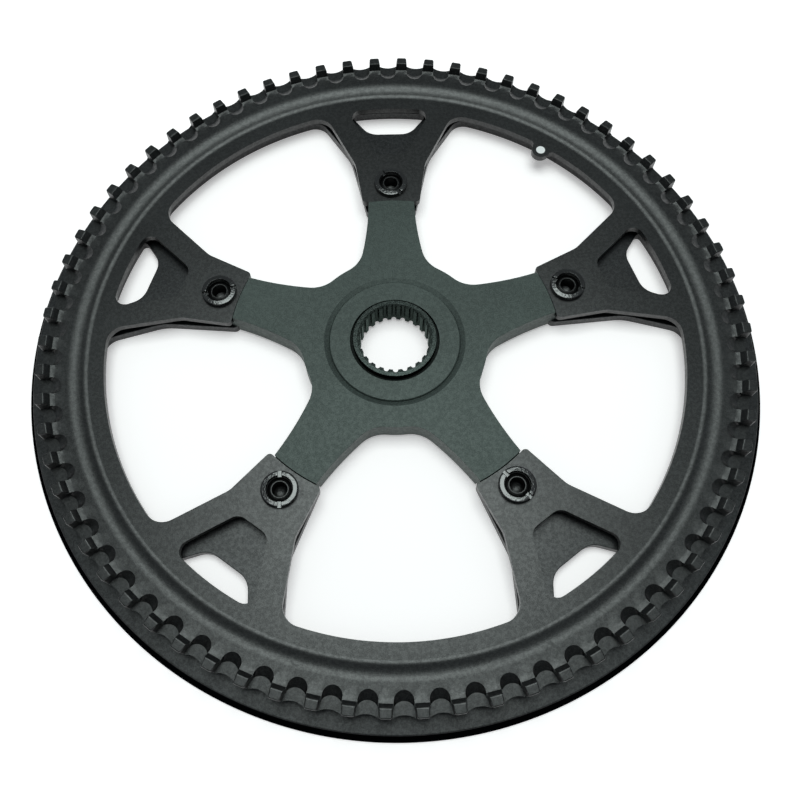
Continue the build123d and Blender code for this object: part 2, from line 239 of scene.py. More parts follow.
class GuardSizes(bpy.types.PropertyGroup, ArmSizes):
    """The belt guard behind the teeth."""

    outer: length("Outer radius", "Bore to the guard's edge", guard_high.x)
    bevel_width: length("Bevel width", "Of the guard's sloping edge", 2.1 * MM)
    bevel_drop: length("Bevel drop", "Of the guard's sloping edge", 3.0 * MM)
    rim: length("Inner radius", "Bore to the guard's inner edge", 103.5 * MM)
    end_reach: length("End reach", "Bolt circle in to the arm's end", 8.7 * MM)
    waist_reach: length("Waist reach", "Bolt circle out to the waist", 16.8 * MM)
    waist_width: length("Waist width", "Width across the waist", 30.4 * MM)
    taper: ratio("Taper", "Narrowing from waist to end, each side", 0.235)
    flare: ratio("Flare", "Widening from waist to rim, each side", 0.66)
    rim_round: length("Rim rounding", "Radius where arm and rim meet", 6.0 * MM)
    waist_round: length("Waist rounding", "Radius at the waist", 18.0 * MM)
    end_round: length("End rounding", "Radius of the end's corners", 2.0 * MM)
    opening_reach: length("Slot reach", "Bolt circle out to the slot", 28.0 * MM)
    opening_width: length("Slot width", "At its inner edge", 16.0 * MM)
    opening_out: length("Slot outer radius", "Bore to its outer edge", 103.5 * MM)
    opening_flare: ratio("Slot flare", "Widening outwards, each side", 0.78)
    opening_inner_round: length("Slot inner rounding", "Radius of its inner corners", 7.0 * MM)
    opening_outer_round: length("Slot outer rounding", "Radius of its outer corners", 1.5 * MM)
    counterbore: length("Counterbore", "Radius of the recess for a bolt's head", 6.7 * MM)
    counterbore_depth: length("Counterbore depth", "Depth of that recess", 2.0 * MM)
    edge: length("Broken edge", "Width of the guard's broken edges", 0.22 * MM)


class SpiderSizes(bpy.types.PropertyGroup, ArmSizes):
    """The spider with its hub and splined bore."""

    rise: length("Rise", "Spider's face above the tabs", 0.4 * MM)
    hub: length("Hub radius", "Round edge between two arms", 32.1 * MM)
    arm_width: length("Arm width", "At the tabs", 17.0 * MM)
    root_width: length("Root width", "Just inside the hub's edge", 25.0 * MM)
    root_reach: length("Root reach", "Bore to that place", 28.0 * MM)
    hub_round: length("Hub rounding", "Radius where arm and hub meet", 11.0 * MM)
    front_end: length("Front end", "Bore to the end of the arm's face", 57.4 * MM)
    back_end: length("Back end", "Bore to the end of the arm's back", 56.0 * MM)
    ledge_low: length("Ledge underside", "Height of the ledge's underside", guard_high.z)
    ledge_top: length("Ledge top", "Height of the ledge under the tab", TAB_TOP - TAB_THICKNESS)
    spline_count: bpy.props.IntProperty(
        name="Splines", description="Grooves in the bore", default=24
    )
    spline_radius: length("Spline radius", "Bore's inner radius", 12.0 * MM)
    spline_depth: length("Spline depth", "Of the round grooves", 0.95 * MM)
    spline_mouth: length("Spline mouth", "Width of a groove", 1.75 * MM)
    boss: length("Boss radius", "Raised ring round the bore", 14.4 * MM)
    moat_width: length("Moat width", "Sunk ring round the boss", 1.1 * MM)
    moat_depth: length("Moat depth", "Sunk ring round the boss", 1.2 * MM)
    groove: length("Groove radius", "Lowest line of the hub's groove", 22.9 * MM)
    groove_depth: length("Groove depth", "Of the hub's groove", 0.78 * MM)
    groove_outer: length("Groove outer run", "Width of its straight outer side", 1.6 * MM)
    groove_inner: length("Groove inner run", "Width of its steep inner side", 0.32 * MM)
    groove_brow: length("Groove brow", "Radius at the top of its inner side", 0.45 * MM)
    edge: length("Broken edge", "Width of the spider's broken edges", 0.2 * MM)

    @property
    def moat_out(self):
        return self.boss + self.moat_width


class FastenerSizes(bpy.types.PropertyGroup, ArmSizes):
    """The slotted nuts and the bolts."""

    flange: length("Nut radius", "Outer radius of a nut", 6.15 * MM)
    flange_round: length("Nut rounding", "Radius of a nut's outer edge", 0.6 * MM)
    crown: length("Nut crown", "How far a nut's face falls to its outer edge", 0.14 * MM)
    nut_bore: length("Nut bore", "Radius of a nut's thread", 3.95 * MM)
    nut_flare: length("Nut flare", "Radius of the bore's mouth", 4.45 * MM)
    slot_width: length("Slot width", "Of the slot across a nut", 1.3 * MM)
    slot_depth: length("Slot depth", "Of the slot across a nut", 0.9 * MM)
    slot_turns: bpy.props.FloatVectorProperty(
        name="Slot angles", description="How each nut came to rest when it was tightened",
        size=ARMS, default=[radians(turn) for turn in (125, 120, 127, 97, 48)], unit="ROTATION",
    )
    nut_edge: length("Nut edge", "Width of a nut's broken edges", 0.07 * MM)
    bolt: length("Bolt radius", "Outer radius of a bolt", 3.9 * MM)
    head: length("Head radius", "Of a bolt's head", 6.5 * MM)
    head_height: length("Head height", "Of a bolt's head", 1.8 * MM)
    key: length("Key width", "Across the flats of the socket", 5.0 * MM)
    key_depth: length("Key depth", "Of the socket", 3.0 * MM)
    nose: length("Nose radius", "Outer radius of a bolt's end", 3.0 * MM)
    nose_hole: length("Nose hole", "Radius of the hole in a bolt's end", 2.5 * MM)
    nose_drop: length("Nose drop", "Length of the tapered end", 0.8 * MM)
    nose_hole_depth: length("Nose hole depth", "Of the hole in a bolt's end", 5.2 * MM)
    nose_edge: length("Nose edge", "Width of the bevels round a bolt's end", 0.1 * MM)
    bolt_edge: length("Bolt edge", "Width of a bolt's broken edges", 0.03 * MM)


class FinishColours(bpy.types.PropertyGroup):
    """Colours of the finishes."""

    ring: colour("Ring", "Black anodised toothed ring", (0.0026, 0.0029, 0.0030))
    guard: colour("Guard", "Black anodised belt guard", (0.0028, 0.0034, 0.0042))
    spider: colour("Spider", "Blasted grey spider", (0.0200, 0.0250, 0.0233))
    filling: colour("Filling", "White filling in the lug", (0.85, 0.85, 0.85))
    nut: colour("Nuts", "Gloss black nuts", (0.0015, 0.0015, 0.0016))
    bolt: colour("Bolts", "Blackened bolts", (0.0018, 0.0018, 0.0019))
    floor: colour("Floor", "Floor under the part", (0.97, 0.91, 0.92))


class StageSizes(bpy.types.PropertyGroup):
    """Camera, floor, lamp and room."""

    target: bpy.props.FloatVectorProperty(
        name="Target", description="Point that the camera looks at", unit="LENGTH", precision=5,
        default=(-3.93 * MM, -22.36 * MM, TAB_TOP),
    )
    distance: length("Distance", "Camera to target", 260.8 * MM)
    elevation: angle("Elevation", "Camera above the horizon", 68.81)
    azimuth: angle("Azimuth", "Camera round the bore", -0.3)
    roll: angle("Roll", "Camera about its own axis", -0.79)
    focal: ratio("Focal length", "Focal length over the picture's width", 0.97)
    shift: bpy.props.FloatVectorProperty(
        name="Shift", description="Shift of the picture's centre", size=2, precision=5,
        default=(0.01925, 0.0005),
    )
    clip: length("Clip", "Nearest place that the camera shows", 10.0 * MM)
    floor: length("Floor size", "Side of the floor", 6.0)
    # floor_glow is the floor's painted shade under the part; field_glow brings it up to white
    # outside
    floor_glow: ratio("Floor glow", "What the floor adds to its light under the part", 0.32)
    field_glow: ratio("Field glow", "What it adds to that well outside the part", 0.6)
    lamp_place: bpy.props.FloatVectorProperty(
        name="Lamp place", description="Middle of the soft lamp", unit="LENGTH",
        default=(0.0, 0.07, 0.5),
    )
    lamp_size: bpy.props.FloatVectorProperty(
        name="Lamp size", description="Sides of the soft lamp", unit="LENGTH", size=2,
        default=(0.34, 0.32),
    )
    lamp_glow: ratio("Lamp glow", "Brightness of the soft lamp's face", 4.9)
    lamp_tint: colour("Lamp tint", "Colour of the soft lamp", (0.90, 1.0, 0.97))
    sky_tint: colour("Sky tint", "Colour of the room", (0.86, 0.97, 1.0))
    sky_glow: ratio("Sky glow", "Brightness of the room overhead", 0.32)
    back_glow: ratio("Backdrop glow", "Brightness of the walls beside and behind the part", 0.34)
    room_glow: ratio("Room glow", "Brightness of the room all round", 0.02)


# Outlines in plan, as lists of 2D points

def polar(radius, turn):
    """The point at a radius and a direction."""
    return Vector((radius * cos(turn), radius * sin(turn)))


def arc(centre, radius, start, end, steps):
    """Points on an arc from one direction to another, both ends included."""
    return [centre + polar(radius, start + (end - start) * n / steps) for n in range(steps + 1)]


def short_arc(centre, start, end, steps=6):
    """Points the short way round a centre, from one point to another."""
    first = atan2(start.y - centre.y, start.x - centre.x)
    last = atan2(end.y - centre.y, end.x - centre.x)
    turn = (last - first + pi) % (2 * pi) - pi
    return arc(centre, (start - centre).length, first, first + turn, steps)


def rounded_corner(before, corner, after, radius):
    """Arc that rounds the corner between two straight edges."""
    back = (before - corner).normalized()
    on = (after - corner).normalized()
    half = back.angle(on) / 2
    reach = radius / tan(half)
    centre = corner + (back + on).normalized() * (radius / sin(half))
    return short_arc(centre, corner + back * reach, corner + on * reach)


def corner_on_circle(point, along, aside, radius, rim, reach, steps=6):
    """Arc from a straight edge to a circle round the bore, its centre aside, at that reach."""
    start = point + aside * radius
    lead = start.dot(along)
    centre = start + along * (sqrt(lead * lead - start.dot(start) + reach * reach) - lead)
    return short_arc(centre, centre - aside * radius, centre * (rim / reach), steps)


def circles_meet(first, first_radius, second, second_radius):
    """Where two circles cross, on the left of the way from the first centre to the second."""
    way = second - first
    gap = way.length
    along = (first_radius**2 - second_radius**2 + gap**2) / (2 * gap)
    across = sqrt(first_radius**2 - along**2)
    way.normalize()
    return first + way * along + Vector((-way.y, way.x)) * across


def mirrored(points):
    """The points on the other side of the arm's axis, in the other order."""
    return [Vector((-p.x, p.y)) for p in reversed(points)]


def round_the_bore(halves):
    """Closed edge from the right half and the left half of each arm in turn."""
    edge = []
    for n, (right, left) in enumerate(halves):
        turn = Matrix.Rotation(n * ARM_STEP, 2)
        edge += [turn @ p for p in right + mirrored(left)]
    return edge


def arm_side(s, start):
    """Right half of an arm's edge: on from start along the rim, then down to the end's middle."""
    waist = Vector((s.waist_width / 2, s.bolt_radius + s.waist_reach))
    end = s.bolt_radius - s.end_reach
    outwards = Vector((s.flare, 1)).normalized()
    upwards = Vector((s.taper, 1)).normalized()
    open_side = Vector((outwards.y, -outwards.x))
    metal_side = Vector((-upwards.y, upwards.x))
    reach = s.rim - s.rim_round
    foot = corner_on_circle(waist, outwards, open_side, s.rim_round, s.rim, reach, steps=10)
    tip = corner_on_circle(waist, upwards, metal_side, s.end_round, end, end + s.end_round)
    middle = rounded_corner(waist + outwards, waist, waist - upwards, s.waist_round)
    along_rim = short_arc(BORE, start[-1], foot[-1], steps=14)
    along_end = short_arc(BORE, tip[-1], Vector((0, end)), steps=5)
    return start + along_rim + foot[::-1] + middle + tip + along_end


def opening_edge(s):
    """Edge of the window or slot in the arm along +Y."""
    inner = Vector((s.opening_width / 2, s.bolt_radius + s.opening_reach))
    outwards = Vector((s.opening_flare, 1)).normalized()
    open_side = Vector((-outwards.y, outwards.x))
    low = rounded_corner(Vector((0, inner.y)), inner, inner + outwards, s.opening_inner_round)
    reach = s.opening_out - s.opening_outer_round
    high = corner_on_circle(
        inner, outwards, open_side, s.opening_outer_round, s.opening_out, reach
    )
    top = short_arc(BORE, high[-1], Vector((0, s.opening_out)))
    right = low + high + top
    return right + mirrored(right)


def gap_middle(s):
    """Point on the rim half way between the arm along +Y and the next on its right."""
    return polar(s.rim, pi / 2 - ARM_STEP / 2)


def lug_centre(s):
    """Middle of the lug, half way between those arms."""
    return polar(s.rim - s.lug_inset, pi / 2 - ARM_STEP / 2)


def lug_side(s):
    """Half of the lug's edge, from its tip to the rim, on the side of the arm along +Y."""
    centre = lug_centre(s)
    foot = circles_meet(BORE, s.rim - s.lug_round, centre, s.lug_radius + s.lug_round)
    on_lug = centre + (foot - centre) * (s.lug_radius / (s.lug_radius + s.lug_round))
    on_rim = foot * (s.rim / (s.rim - s.lug_round))
    tip = centre - centre.normalized() * s.lug_radius
    return short_arc(centre, tip, on_lug, steps=10) + short_arc(foot, on_lug, on_rim)


def spider_edge(s):
    """The star's edge: round hub, hollow-sided arms, straight ends under the tabs."""
    half = s.arm_width / 2
    top = s.bolt_radius - TAB_END_REACH
    spread = s.root_width / 2 - half
    bow = (spread**2 + (top - s.root_reach) ** 2) / (2 * spread)
    centre = Vector((half + bow, top))
    foot = circles_meet(BORE, s.hub + s.hub_round, centre, bow - s.hub_round)
    on_hub = foot * (s.hub / (s.hub + s.hub_round))
    on_arm = centre + (foot - centre) * (bow / (bow - s.hub_round))
    hub = short_arc(BORE, polar(s.hub, pi / 2 - ARM_STEP / 2), on_hub)
    side = short_arc(centre, on_arm, Vector((half, top)), steps=12)
    end = [Vector((half, spider_high.y)), Vector((0, spider_high.y))]
    right = hub + short_arc(foot, on_hub, on_arm, steps=10) + side + end
    return round_the_bore([(right, right)] * ARMS)


def spline_edge(s):
    """The bore's edge: round grooves with narrow lands between them."""
    half = s.spline_mouth / 2
    radius = (half**2 + s.spline_depth**2) / (2 * s.spline_depth)
    middle = s.spline_radius + s.spline_depth - radius
    swing = atan2(half, sqrt(s.spline_radius**2 - half**2) - middle)
    edge = []
    for n in range(s.spline_count):
        turn = 2 * pi * n / s.spline_count
        edge += arc(polar(middle, turn), radius, turn - swing, turn + swing, steps=10)
    return edge


def circle(radius, steps, centre=BORE):
    """Points on a full circle, the first on its +Y side."""
    return [centre + polar(radius, pi / 2 + 2 * pi * n / steps) for n in range(steps)]


def arm_holes(s):
    """Edges of the opening and the bolt hole in each arm."""
    holes = []
    for n in range(ARMS):
        turn = Matrix.Rotation(n * ARM_STEP, 2)
        holes.append([turn @ p for p in opening_edge(s)])
        holes.append(circle(s.bolt_hole, HOLE_STEPS, turn @ Vector((0, s.bolt_radius))))
    return holes


# Modelling by hand

def only(*pieces):
    """Select these objects alone, the first one active."""
    if bpy.context.object and bpy.context.object.mode != "OBJECT":
        bpy.ops.object.mode_set(mode="OBJECT")
    bpy.ops.object.select_all(action="DESELECT")
    for piece in pieces:
        piece.select_set(True)
    bpy.context.view_layer.objects.active = pieces[0]


def edit(piece, kind="VERT", test=None):
    """Open a piece for editing, with what the test picks selected, or all of it."""
    only(piece)
    bpy.ops.object.mode_set(mode="EDIT")
    bpy.ops.mesh.select_mode(type=kind)
    bpy.ops.mesh.select_all(action="DESELECT" if test else "SELECT")
    if test:
        mesh = bmesh.from_edit_mesh(piece.data)
        for part in {"VERT": mesh.verts, "EDGE": mesh.edges, "FACE": mesh.faces}[kind]:
            part.select_set(test(part))
        bmesh.update_edit_mesh(piece.data)


def done():
    """Close the piece that is open for editing."""
    bpy.ops.object.mode_set(mode="OBJECT")


def shaped(piece, tool, kind="VERT", test=None, **settings):
    """Use one tool on what the test picks of a piece, or on all of it."""
    edit(piece, kind, test)
    tool(**settings)
    done()


def applied(piece, kind, **settings):
    """Give a piece a modifier of that kind and apply it."""
    only(piece)
    bpy.ops.object.modifier_add(type=kind)
    modifier = piece.modifiers[-1]
    for name, value in settings.items():
        setattr(modifier, name, value)
    bpy.ops.object.modifier_apply(modifier=modifier.name)


def wire(points, place):
    """A closed wire through the points, each put in its place."""
    kept = [p for n, p in enumerate(points) if (p - points[n - 1]).length > MERGE]
    bpy.ops.mesh.primitive_circle_add(vertices=len(kept), radius=MM)
    piece = bpy.context.object
    for vertex, point in zip(piece.data.vertices, kept):
        vertex.co = place(point)
    return piece


def prism(points, top, low):
    """An upright block with that edge."""
    piece = wire(points, lambda p: Vector((p.x, p.y, top)))
    edit(piece)
    bpy.ops.mesh.edge_face_add()
    bpy.ops.mesh.extrude_region_move(TRANSFORM_OT_translate={"value": (0, 0, low - top)})
    done()
    return outwards(piece)


def plate(edge, holes, top, low):
    """A flat plate with one edge round it and the others cut out of it."""
    piece = prism(edge, top, low)
    cuts = [prism(points, top + PAST, low - PAST) for points in holes]
    return combined(piece, joined(cuts), "DIFFERENCE")


def turned(profile, steps):
    """A closed section of radius and height, turned full circle round the bore."""
    piece = wire(profile, lambda p: Vector((p.x, 0, p.y)))
    shaped(piece, bpy.ops.mesh.spin, steps=steps, angle=2 * pi, center=(0, 0, 0), axis=(0, 0, 1))
    return outwards(piece)


def square_ring(inner, outer, low, high, steps):
    """A ring of square section between two radii and two heights."""
    section = ((inner, low), (outer, low), (outer, high), (inner, high))
    return turned([Vector(p) for p in section], steps)


def bar(radius, steps, low, high, out=0.0):
    """An upright round bar on +Y, that far out from the bore."""
    bpy.ops.mesh.primitive_cylinder_add(
        vertices=steps, radius=radius, depth=high - low, location=(0, out, (low + high) / 2)
    )
    bpy.ops.object.transform_apply(location=True, rotation=True, scale=True)
    return bpy.context.object


def block(size, middle):
    """A square block of that size about its middle."""
    bpy.ops.mesh.primitive_cube_add(size=1, location=middle)
    piece = bpy.context.object
    piece.scale = size
    bpy.ops.object.transform_apply(location=True, rotation=True, scale=True)
    return piece


def outwards(piece):
    """Merge what coincides and point every face outwards."""
    edit(piece)
    bpy.ops.mesh.remove_doubles(threshold=MERGE)
    bpy.ops.mesh.normals_make_consistent(inside=False)
    done()
    return piece


def joined(pieces):
    """Several pieces as one."""
    only(*pieces)
    if len(pieces) > 1:
        bpy.ops.object.join()
    return bpy.context.object


def combined(piece, other, operation):
    """Cut the other piece from this one, or add it."""
    applied(piece, "BOOLEAN", operation=operation, solver="EXACT", object=other)
    bpy.data.objects.remove(other)
    return piece


def moved_copy(piece, matrix):
    """A copy with a mesh of its own, moved there."""
    copy = piece.copy()
    copy.data = piece.data.copy()
    copy.data.transform(matrix)
    bpy.context.collection.objects.link(copy)
    return copy


def at_bolts(piece, radius, turns=(0,) * ARMS):
    """The piece at each bolt, each copy turned about its own axis first."""
    copies = []
    for n, turn in enumerate(turns):
        place = Matrix.Rotation(n * ARM_STEP, 4, "Z") @ Matrix.Translation((0, radius, 0))
        copies.append(moved_copy(piece, place @ Matrix.Rotation(turn, 4, "Z")))
    bpy.data.objects.remove(piece)
    return joined(copies)


def broken_edges(piece, width):
    """Break the sharp edges and smooth the rest."""
    applied(
        piece, "BEVEL", width=width, segments=2, limit_method="ANGLE",
        angle_limit=BREAK_ANGLE, miter_outer="MITER_ARC",
    )
    bpy.ops.object.shade_smooth_by_angle(angle=SMOOTH_ANGLE)
    applied(piece, "WEIGHTED_NORMAL", keep_sharp=True)


def finished(piece, name, node, material):
    """Name a piece, give it its finish and let it stand for its solid."""
    piece.name = name
    piece.data.name = name
    piece.data.materials.clear()
    piece.data.materials.append(material)
    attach(piece, "root")
    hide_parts(node)
    return {"FINISHED"}


# Pieces

def rim_section(s):
    """Section of the rim as turned: cove, land, saddle and rib."""
    swing = 2 * atan2(s.land_rise, s.cove_brow + s.cove_hollow)
    hollow = s.cove_hollow / sin(swing)
    brow = s.cove_brow / sin(swing)
    low = TAB_TOP - TAB_THICKNESS
    cove = arc(Vector((s.band_out, TAB_TOP + hollow)), hollow, -pi / 2, swing - pi / 2, steps=7)
    cove += arc(Vector((s.land_in, s.land_top - brow)), brow, pi / 2 + swing, pi / 2, steps=9)
    rib = s.tip - RIB_SINK
    saddle = [
        Vector((s.tooth_in - s.saddle, s.land_top)),
        Vector((s.tooth_in - s.heel, s.saddle_top)),
        Vector((s.tooth_in, s.saddle_top)),
        Vector((s.tooth_in, s.rib_top)),
    ]
    under = [
        Vector((rib, s.rib_top)),
        Vector((rib, s.rib_low)),
        Vector((s.tooth_in - s.shoulder_lap, s.rib_low)),
        Vector((s.land_out, low)),
        Vector((s.band_out, low)),
    ]
    return cove + saddle + under


def scoop_cutter(s):
    """Scoop between two teeth on +Y, from a floor level with the rib up to its edge on the land."""
    floor = s.rib_top - FLOOR_SKIM
    top = s.land_top + PAST
    lift = (top - floor) / (s.land_top - floor)
    half = s.scoop_floor_width / 2
    swing = asin(half / s.scoop_floor_round)
    foot = Vector((0, s.tooth_in - s.scoop_floor + s.scoop_floor_round))
    edge = Vector((0, s.tooth_in - s.scoop_reach + s.scoop_round))
    low = arc(foot, s.scoop_floor_round, -pi / 2 - swing, -pi / 2 + swing, SCOOP_STEPS)
    land = arc(edge, s.scoop_round, -pi, 0, SCOOP_STEPS)
    high = [p + lift * (q - p) for p, q in zip(low, land)]
    past = s.tip + PAST
    low += [Vector((half, past)), Vector((-half, past))]
    high += [Vector((high[-1].x, past)), Vector((-high[-1].x, past))]
    piece = joined(
        [
            wire(low, lambda p: Vector((p.x, p.y, floor))),
            wire(high, lambda p: Vector((p.x, p.y, top))),
        ]
    )
    edit(piece)
    bpy.ops.mesh.bridge_edge_loops()
    bpy.ops.mesh.select_all(action="SELECT")
    bpy.ops.mesh.fill_holes(sides=0)
    done()
    return outwards(piece)


def scallop_cutter(s):
    """Round bar on +Y that hollows the rib's edge between two teeth."""
    low, high = s.rib_middle - s.rib_thickness, s.rib_middle + s.rib_thickness
    return bar(s.scallop, SCALLOP_STEPS, low, high, s.tip - s.rib_inset + s.scallop)


def tooth(s):
    """One tooth on +Y, narrowing to its tip and to both ends, with rounded corners."""
    half = s.tooth_length / 2
    rise = ring_high.z - s.rib_middle
    middle = s.tooth_in + s.tooth_depth / 2
    level = (0, 0, s.rib_middle)
    piece = block((s.tooth_length, s.tooth_depth, 2 * rise), (0, middle, s.rib_middle))

    def from_rib(vertex):
        return abs(vertex.co.z - s.rib_middle)

    def at_tip(edge):
        first, last = edge.verts
        return min(first.co.y, last.co.y) > middle and first.co.x * last.co.x > 0

    def at_end(edge):
        return all(from_rib(v) > rise - NEAR for v in edge.verts)

    def narrowed(test, share):
        shaped(
            piece, bpy.ops.transform.resize, "VERT", test, value=(1 - share, 1, 1),
            center_override=level,
        )

    shaped(piece, bpy.ops.mesh.bisect, plane_co=level, plane_no=(0, 0, 1))
    narrowed(lambda v: from_rib(v) > rise / 2, rise * tan(s.draft) / half)
    narrowed(lambda v: v.co.y > middle, s.tooth_depth * tan(s.flank) / half)
    lean = s.heel * rise / (ring_high.z - s.saddle_top)
    shaped(
        piece, bpy.ops.transform.translate, "VERT",
        lambda v: v.co.y < middle and from_rib(v) < rise / 2, value=(0, -lean, 0),
    )
    shaped(piece, bpy.ops.mesh.bevel, "EDGE", at_tip, offset=s.tip_round, segments=4)
    shaped(piece, bpy.ops.mesh.bevel, "EDGE", at_end, offset=s.end_round, segments=2)
    return outwards(piece)


def at_radius(face, radius):
    """Whether a face lies upright at that radius."""
    return all(abs(v.co.xy.length - radius) < NEAR for v in face.verts)


def toothed_rim(s):
    """The rim with its teeth: one pitch is modelled and copied round the bore."""
    start = pi / 2 - s.pitch / 2
    sector = wire(rim_section(s), lambda p: Vector((p.x * cos(start), p.x * sin(start), p.y)))
    edit(sector)
    bpy.ops.mesh.spin(steps=PITCH_STEPS, angle=-s.pitch, center=(0, 0, 0), axis=(0, 0, 1))
    bpy.ops.mesh.select_all(action="SELECT")
    bpy.ops.mesh.fill_holes(sides=0)
    done()
    outwards(sector)
    for side in (-1, 1):
        for cutter in (scoop_cutter(s), scallop_cutter(s)):
            cutter.data.transform(Matrix.Rotation(side * s.pitch / 2, 4, "Z"))
            combined(sector, cutter, "DIFFERENCE")
    combined(sector, tooth(s), "UNION")

    def where_joined(face):
        """Whether a face is at a cut between two pitches, or where the web joins."""
        middle = face.calc_center_median()
        off = abs(abs(atan2(middle.x, middle.y)) - s.pitch / 2)
        at_cut = off < TURN_SLACK and abs(face.normal.x) > ALONG
        return at_cut or at_radius(face, s.band_out)

    edit(sector, "FACE", where_joined)
    bpy.ops.mesh.delete(type="FACE")
    bpy.ops.mesh.select_all(action="SELECT")
    copies = s.tooth_count - 1
    bpy.ops.mesh.spin(
        steps=copies, dupli=True, angle=copies * s.pitch, center=(0, 0, 0), axis=(0, 0, 1)
    )
    done()
    sector.data.transform(Matrix.Rotation(s.pitch / 2, 4, "Z"))
    return outwards(sector)


def tab_web(s, rim):
    """The flat band with its tabs, open where it joins the rim."""
    plain = arm_side(s, [gap_middle(s)])
    lugged = arm_side(s, lug_side(s))
    halves = [(plain, plain)] * ARMS
    halves[0] = (lugged, plain)
    halves[-1] = (plain, lugged)
    outer = circle(rim.band_out, rim.tooth_count * PITCH_STEPS)
    holes = [round_the_bore(halves)] + arm_holes(s)
    web = plate(outer, holes, TAB_TOP, TAB_TOP - s.thickness)
    shaped(web, bpy.ops.mesh.delete, "FACE", lambda f: at_radius(f, rim.band_out), type="FACE")
    return web


class SPROCKET_OT_ring(bpy.types.Operator):
    """Model the toothed ring with its tabs"""

    bl_idname = "sprocket.ring"
    bl_label = "Toothed ring"

    def execute(self, context):
        rim = context.scene.sprocket_rim
        tabs = context.scene.sprocket_tabs
        ring = joined([toothed_rim(rim), tab_web(tabs, rim)])
        outwards(ring)
        broken_edges(ring, rim.edge)
        colours = context.scene.sprocket_colours
        filling = (lug_centre(tabs), tabs.lug_fill, colours.filling)
        material = anodised("ring_black", colours.ring, gloss=0.45, satin=0.26, filling=filling)
        return finished(ring, "toothed_ring", "sprocket_ring", material)


class SPROCKET_OT_guard(bpy.types.Operator):
    """Model the belt guard"""

    bl_idname = "sprocket.guard"
    bl_label = "Belt guard"

    def execute(self, context):
        s = context.scene.sprocket_guard
        side = arm_side(s, [gap_middle(s)])
        holes = [round_the_bore([(side, side)] * ARMS)] + arm_holes(s)
        slope_in = s.outer - s.bevel_width
        slope_foot = guard_high.z - s.bevel_drop
        guard = plate(circle(slope_in, GUARD_STEPS), holes, guard_high.z, slope_foot)
        inside = slope_in - s.bevel_width / 2
        widen = s.outer / slope_in
        half_way = (guard_high.z + slope_foot) / 2
        shaped(
            guard, bpy.ops.transform.resize, "VERT",
            lambda v: v.co.z < half_way and v.co.xy.length > inside,
            value=(widen, widen, 1), center_override=(0, 0, slope_foot),
        )
        shaped(
            guard, bpy.ops.mesh.extrude_region_move, "FACE", lambda f: f.normal.z < -ALONG,
            TRANSFORM_OT_translate={"value": (0, 0, guard_low.z - slope_foot)},
        )
        floor = guard_low.z + s.counterbore_depth
        recess = bar(s.counterbore, RECESS_STEPS, guard_low.z - PAST, floor)
        combined(guard, at_bolts(recess, s.bolt_radius), "DIFFERENCE")
        outwards(guard)
        broken_edges(guard, s.edge)
        base = context.scene.sprocket_colours.guard
        # the sloping edge outside slope_in gets painted shade, a matt near-black over the finish
        material = anodised("guard_black", base, gloss=0.4, satin=0.28, edge=slope_in)
        return finished(guard, "belt_guard", "guard_ring", material)


def spider_cuts(s, top):
    """What is cut from the spider: groove, moat, splined bore and both steps at the arms' ends."""
    low = Vector((s.groove, top - s.groove_depth))
    lip = Vector((s.groove + s.groove_outer, top))
    crest = Vector((s.groove - s.groove_inner, top))
    brow = rounded_corner(low, crest, Vector((0, top)), s.groove_brow)
    above = [Vector((brow[-1].x, top + PAST)), Vector((lip.x, top + PAST))]
    groove = turned([lip, low] + brow + above, GROOVE_STEPS)
    moat = square_ring(s.boss, s.moat_out, top - s.moat_depth, top + PAST, BOSS_STEPS)
    bore = prism(spline_edge(s), spider_high.z + PAST, spider_low.z - PAST)
    past_end = spider_high.y + PAST
    front = square_ring(s.front_end, past_end, s.ledge_top, top + PAST, ARM_END_STEPS)
    back = square_ring(s.back_end, past_end, spider_low.z - PAST, s.ledge_low, ARM_END_STEPS)
    return joined([groove, moat, bore, front, back])


class SPROCKET_OT_spider(bpy.types.Operator):
    """Model the spider with its hub and splined bore"""

    bl_idname = "sprocket.spider"
    bl_label = "Spider"

    def execute(self, context):
        s = context.scene.sprocket_spider
        top = TAB_TOP + s.rise
        spider = prism(spider_edge(s), top, spider_low.z)
        boss = prism(circle(s.boss, BOSS_STEPS), spider_high.z, top - 2 * s.moat_depth)
        combined(spider, boss, "UNION")
        combined(spider, spider_cuts(s, top), "DIFFERENCE")
        hole = bar(s.bolt_hole, HOLE_STEPS, spider_low.z - PAST, spider_high.z + PAST)
        combined(spider, at_bolts(hole, s.bolt_radius), "DIFFERENCE")
        outwards(spider)
        broken_edges(spider, s.edge)
        base = context.scene.sprocket_colours.spider
        bore = s.spline_radius + s.spline_depth
        # the bore and the moat get painted shade in this finish
        material = blasted("spider_grey", base, s.boss, s.moat_out, bore)
        return finished(spider, "spider_star", "spider", material)


class SPROCKET_OT_nuts(bpy.types.Operator):
    """Model one slotted nut and copy it to each tab"""

    bl_idname = "sprocket.nuts"
    bl_label = "Slotted nuts"

    def execute(self, context):
        s = context.scene.sprocket_fasteners
        top = nut_high.z
        corner = Vector((s.flange - s.flange_round, top - s.crown - s.flange_round))
        section = [
            Vector((s.nut_bore, TAB_TOP)),
            Vector((s.nut_bore, top - 2 * (s.nut_flare - s.nut_bore))),
            Vector((s.nut_flare, top)),
            *arc(corner, s.flange_round, pi / 2, 0, steps=5),
            Vector((s.flange, TAB_TOP)),
        ]
        nut = turned(section, NUT_STEPS)
        size = (3 * s.flange, s.slot_width, s.slot_depth + PAST)
        slot = block(size, (0, 0, top - s.slot_depth / 2 + PAST / 2))
        combined(nut, slot, "DIFFERENCE")
        broken_edges(nut, s.nut_edge)
        nuts = at_bolts(nut, s.bolt_radius, s.slot_turns)
        base = context.scene.sprocket_colours.nut
        material = blackened("nut_black", base, gloss=1.0, roughness=0.1)
        return finished(nuts, "slotted_nuts", "ring_nuts", material)


